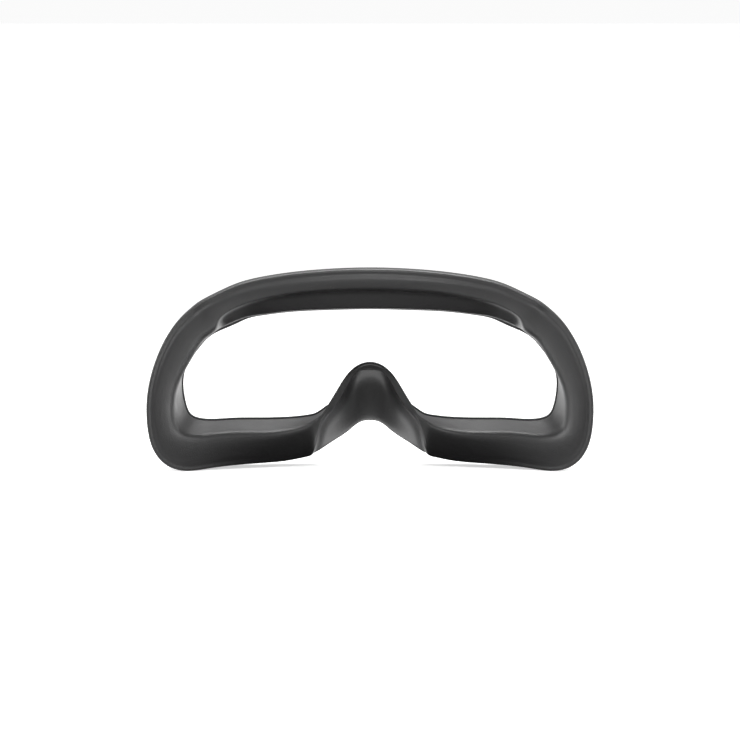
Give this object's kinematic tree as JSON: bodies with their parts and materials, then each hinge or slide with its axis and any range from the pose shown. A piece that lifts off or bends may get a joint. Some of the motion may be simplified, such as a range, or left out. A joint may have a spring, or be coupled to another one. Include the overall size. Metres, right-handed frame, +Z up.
{
  "type": "goggles face pad",
  "caption": "Clip-on face pad for FPV goggles: a curved foam ring with a smooth cover and a nose saddle, taped to a plastic mounting frame with locating posts and snap hooks.",
  "frame": {"origin": "under the middle of the pad, on the surface that its two cheek lobes stand on", "axes": "+Z up to the brow, +X across the face towards the right as the wearer's side is looked at, +Y from the wearer towards the goggles"},
  "size_m": [0.1702, 0.046, 0.0764],
  "materials": {
    "skin": "satin",
    "foam": "matte",
    "frame_plastic": "matte",
    "tape": "matte"
  },
  "bodies": {
    "root": {"face_cover": "skin", "foam_core": "foam", "mounting_frame": "frame_plastic", "tape_brow": "tape", "tape_nose": "tape", "tape_temple_left": "tape", "tape_temple_right": "tape", "tape_cheek_left": "tape", "tape_cheek_right": "tape"}
  },
  "joints": []
}
